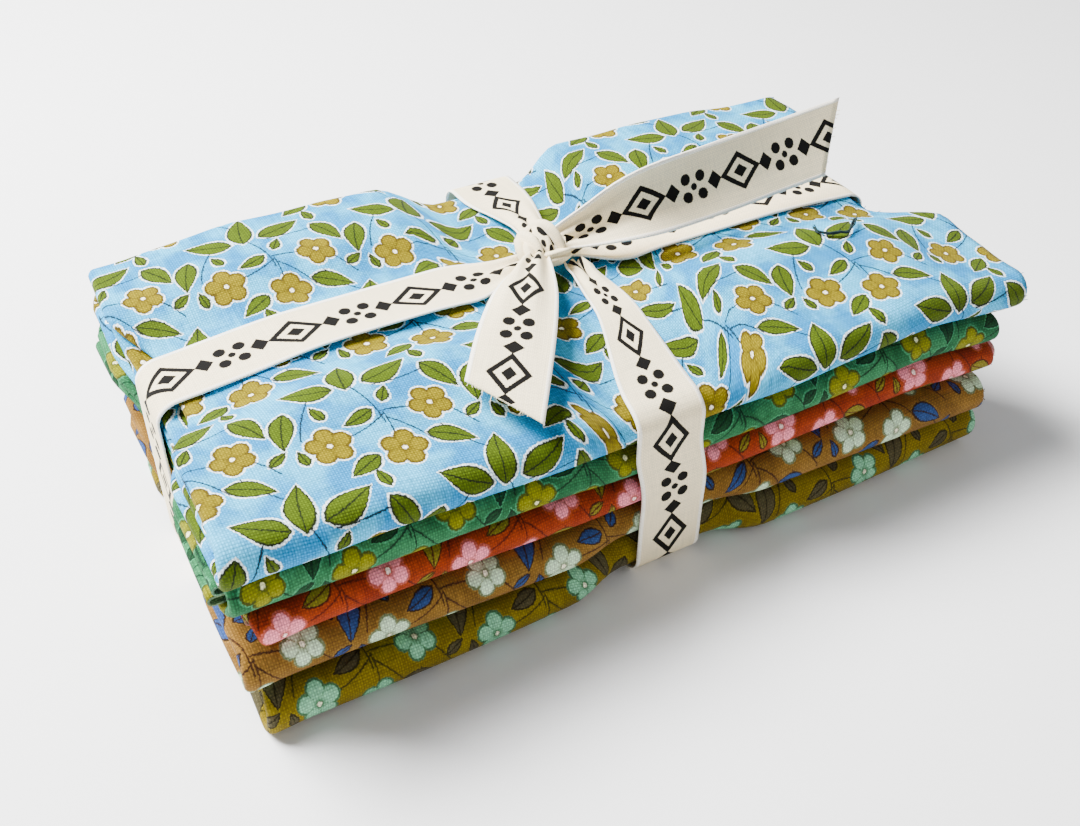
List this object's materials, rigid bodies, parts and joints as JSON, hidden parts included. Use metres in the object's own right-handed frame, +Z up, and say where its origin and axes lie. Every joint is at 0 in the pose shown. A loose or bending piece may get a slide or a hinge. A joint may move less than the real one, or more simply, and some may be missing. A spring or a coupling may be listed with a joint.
{
  "type": "tied stack of folded cloths",
  "caption": "Bundle of folded printed quilting cottons, stacked flat and tied parcel style with a cotton tape.",
  "frame": {"origin": "centre of the bundle's outline, on the surface that it rests on", "axes": "+X along the long front edge towards the cut ends, -Y towards the rounded front folds, +Z up"},
  "size_m": [0.233, 0.1216, 0.0859],
  "materials": {
    "blue_print_cotton": "matt plain-weave quilting cotton, sky blue with a flower sprig print",
    "green_print_cotton": "matt plain-weave quilting cotton, sea green with a flower sprig print",
    "rust_print_cotton": "matt plain-weave quilting cotton, rust orange with a flower sprig print",
    "tan_print_cotton": "matt plain-weave quilting cotton, tan with a flower sprig print",
    "olive_print_cotton": "matt plain-weave quilting cotton, olive with a flower sprig print",
    "cotton_tape": "matt off-white woven cotton tape with a plain black ornament"
  },
  "bodies": {
    "root": {"fat_quarter_blue": "blue_print_cotton", "fat_quarter_green": "green_print_cotton", "fat_quarter_rust": "rust_print_cotton", "fat_quarter_tan": "tan_print_cotton", "fat_quarter_olive": "olive_print_cotton", "ribbon": "cotton_tape"}
  },
  "joints": []
}
